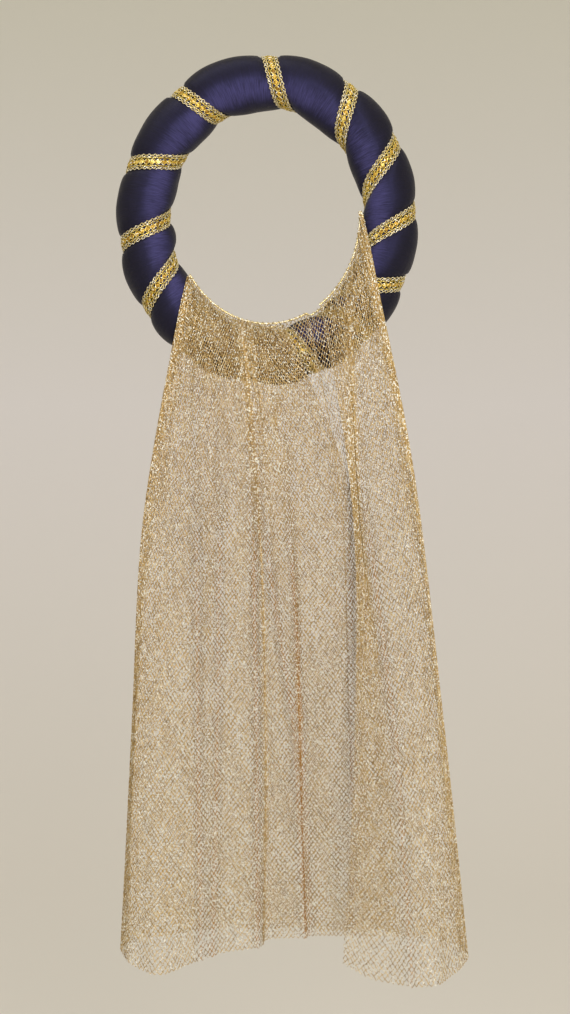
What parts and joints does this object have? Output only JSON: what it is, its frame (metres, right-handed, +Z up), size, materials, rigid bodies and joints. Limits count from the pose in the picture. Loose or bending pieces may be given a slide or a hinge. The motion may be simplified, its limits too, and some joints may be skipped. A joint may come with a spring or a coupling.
{
  "type": "padded roll headdress with net veil",
  "caption": "Historic costume headdress: a ring-shaped padded satin roll, spirally wound with metallic braid, frames the face, and a long gathered net veil hangs from its lower edge.",
  "frame": {"origin": "middle of the roll's opening, which the wearer's head fills, so the head carries the part there", "axes": "the ring stands in the XZ plane, +Z up; -Y is the side that frames the face, +Y goes to the back of the head, +X is the viewer's right as the face side is seen"},
  "size_m": [0.2745, 0.126, 0.7115],
  "materials": {
    "navy_satin": "dark navy satin with an indigo sheen",
    "gold_braid": "woven metallic gold thread, bright and a little rough",
    "gold_net": "fine diamond net of metallic gold thread, see-through, with small glints"
  },
  "bodies": {
    "root": {"padded_roll": "navy_satin", "gold_braid": "gold_braid", "net_veil": "gold_net"}
  },
  "joints": []
}
